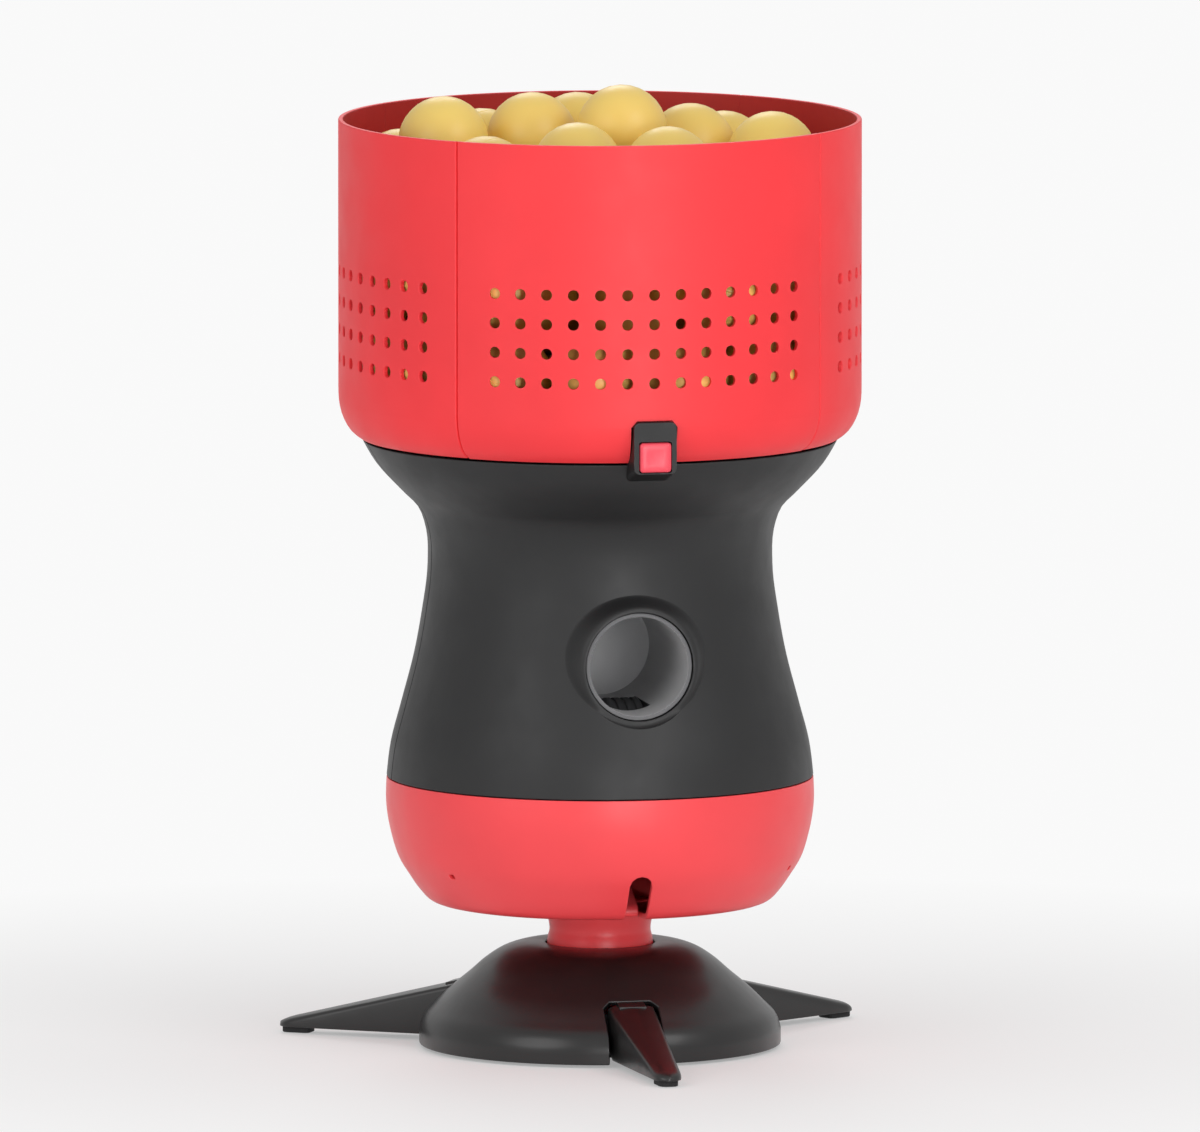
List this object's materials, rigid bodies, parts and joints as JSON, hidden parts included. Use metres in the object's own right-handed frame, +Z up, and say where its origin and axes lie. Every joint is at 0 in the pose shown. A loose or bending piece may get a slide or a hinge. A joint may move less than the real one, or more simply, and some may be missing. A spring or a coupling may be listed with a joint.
{
  "type": "table tennis robot",
  "caption": "Table tennis robot: a perforated ball hopper over an hourglass head with a round exit, swivelling and tilting on a domed base with folding legs.",
  "frame": {"origin": "middle of the base's non-slip pad, on the table", "axes": "+Z up, the ball exit and one leg point to -Y, and +X is to the right as seen from in front of the exit"},
  "size_m": [0.264, 0.2645, 0.412],
  "materials": {
    "red_shell": "smooth gloss moulding",
    "red_hopper": "smooth gloss moulding, slightly translucent",
    "red_feeder": "smooth gloss moulding",
    "red_button": "gloss",
    "black_shell": "fine satin",
    "black_trim": "fine satin",
    "black_gloss": "high gloss",
    "dark_plastic": "moulded",
    "grey_plastic": "moulded",
    "rubber": "soft",
    "wheel_rubber": "ground",
    "steel": "turned",
    "motor_can": "drawn and plated",
    "circuit_board": "solder mask",
    "battery_wrap": "shrink wrap",
    "lens": "clear"
  },
  "bodies": {
    "base": {"non_slip_pad": "rubber", "base_plate": "dark_plastic", "base_cover": "black_gloss", "yaw_bearing": "steel", "yaw_motor": "motor_can", "base_screw_1": "steel", "base_screw_2": "steel", "base_screw_3": "steel", "leg_pin_front": "steel", "leg_pin_right": "steel", "leg_pin_left": "steel"},
    "front_leg": {"leg_front": "black_gloss", "leg_pad_front": "rubber"},
    "right_leg": {"leg_right": "black_gloss", "leg_pad_right": "rubber"},
    "left_leg": {"leg_left": "black_gloss", "leg_pad_left": "rubber"},
    "pinion": {"yaw_pinion": "steel"},
    "turntable": {"turntable_neck": "red_shell", "yaw_gear": "grey_plastic", "tilt_pin": "steel"},
    "head": {"lower_bowl": "red_shell", "front_shell": "black_shell", "rear_shell": "black_shell", "chassis_plate": "dark_plastic", "bowl_screw_1": "steel", "bowl_screw_2": "steel", "bowl_screw_3": "steel", "bowl_screw_4": "steel", "main_board": "circuit_board", "battery_pack": "battery_wrap", "launch_barrel": "grey_plastic", "barrel_saddle": "dark_plastic", "exit_ring": "grey_plastic", "feed_chute": "grey_plastic", "drop_tube": "grey_plastic", "feed_deck": "dark_plastic", "feed_motor": "motor_can", "upper_launch_motor": "motor_can", "lower_launch_motor": "motor_can", "latch_bezel": "black_trim", "control_panel": "black_trim", "dc_jack": "black_trim", "status_lens": "lens"},
    "feeder": {"feed_wheel": "red_feeder"},
    "upper_wheel": {"upper_wheel_hub": "dark_plastic", "upper_wheel_tyre": "wheel_rubber"},
    "lower_wheel": {"lower_wheel_hub": "dark_plastic", "lower_wheel_tyre": "wheel_rubber"},
    "latch_button": {"latch_button": "red_button"},
    "power_button": {"power_button": "grey_plastic"},
    "hopper": {"hopper_floor": "red_hopper", "hopper_panel_front": "red_hopper", "hopper_panel_right": "red_hopper", "hopper_panel_back": "red_hopper", "hopper_panel_left": "red_hopper"}
  },
  "joints": [
    {"name": "leg_front_fold", "type": "hinge", "parent": "base", "child": "front_leg", "pos_m": [0, -0.058, 0.014], "axis": [1, 0, 0], "range_deg": [0, 75]},
    {"name": "leg_right_fold", "type": "hinge", "parent": "base", "child": "right_leg", "pos_m": [0.05023, 0.029, 0.014], "axis": [-0.5, 0.866, 0], "range_deg": [0, 75]},
    {"name": "leg_left_fold", "type": "hinge", "parent": "base", "child": "left_leg", "pos_m": [-0.05023, 0.029, 0.014], "axis": [-0.5, -0.866, 0], "range_deg": [0, 75]},
    {"name": "swivel", "type": "hinge", "parent": "base", "child": "turntable", "pos_m": [0, 0, 0.028], "axis": [0, 0, 1], "range_deg": [-45, 45]},
    {"name": "pinion_spin", "type": "hinge", "parent": "base", "child": "pinion", "pos_m": [0, 0.03, 0.028], "axis": [0, 0, 1], "range_deg": [-180, 180]},
    {"name": "head_tilt", "type": "hinge", "parent": "turntable", "child": "head", "pos_m": [0, 0, 0.08], "axis": [1, 0, 0], "range_deg": [-10, 15]},
    {"name": "feed_spin", "type": "hinge", "parent": "head", "child": "feeder", "pos_m": [0, 0, 0.272], "axis": [0, 0, 1], "continuous": true},
    {"name": "upper_wheel_spin", "type": "hinge", "parent": "head", "child": "upper_wheel", "pos_m": [0, -0.044, 0.2183], "axis": [1, 0, 0], "continuous": true},
    {"name": "lower_wheel_spin", "type": "hinge", "parent": "head", "child": "lower_wheel", "pos_m": [0, -0.044, 0.1377], "axis": [1, 0, 0], "continuous": true},
    {"name": "latch_press", "type": "slide", "parent": "head", "child": "latch_button", "axis": [0, 1, 0], "range_m": [0, 0.003], "stiffness_N_per_m": 300},
    {"name": "power_press", "type": "slide", "parent": "head", "child": "power_button", "axis": [0, -1, 0], "range_m": [0, 0.0012], "stiffness_N_per_m": 300},
    {"name": "hopper_lift", "type": "slide", "parent": "head", "child": "hopper", "axis": [0, 0, 1], "range_m": [0, 0.15]}
  ],
  "couplings": [
    {"joint": "pinion_spin", "follows": "swivel", "ratio": -4}
  ]
}
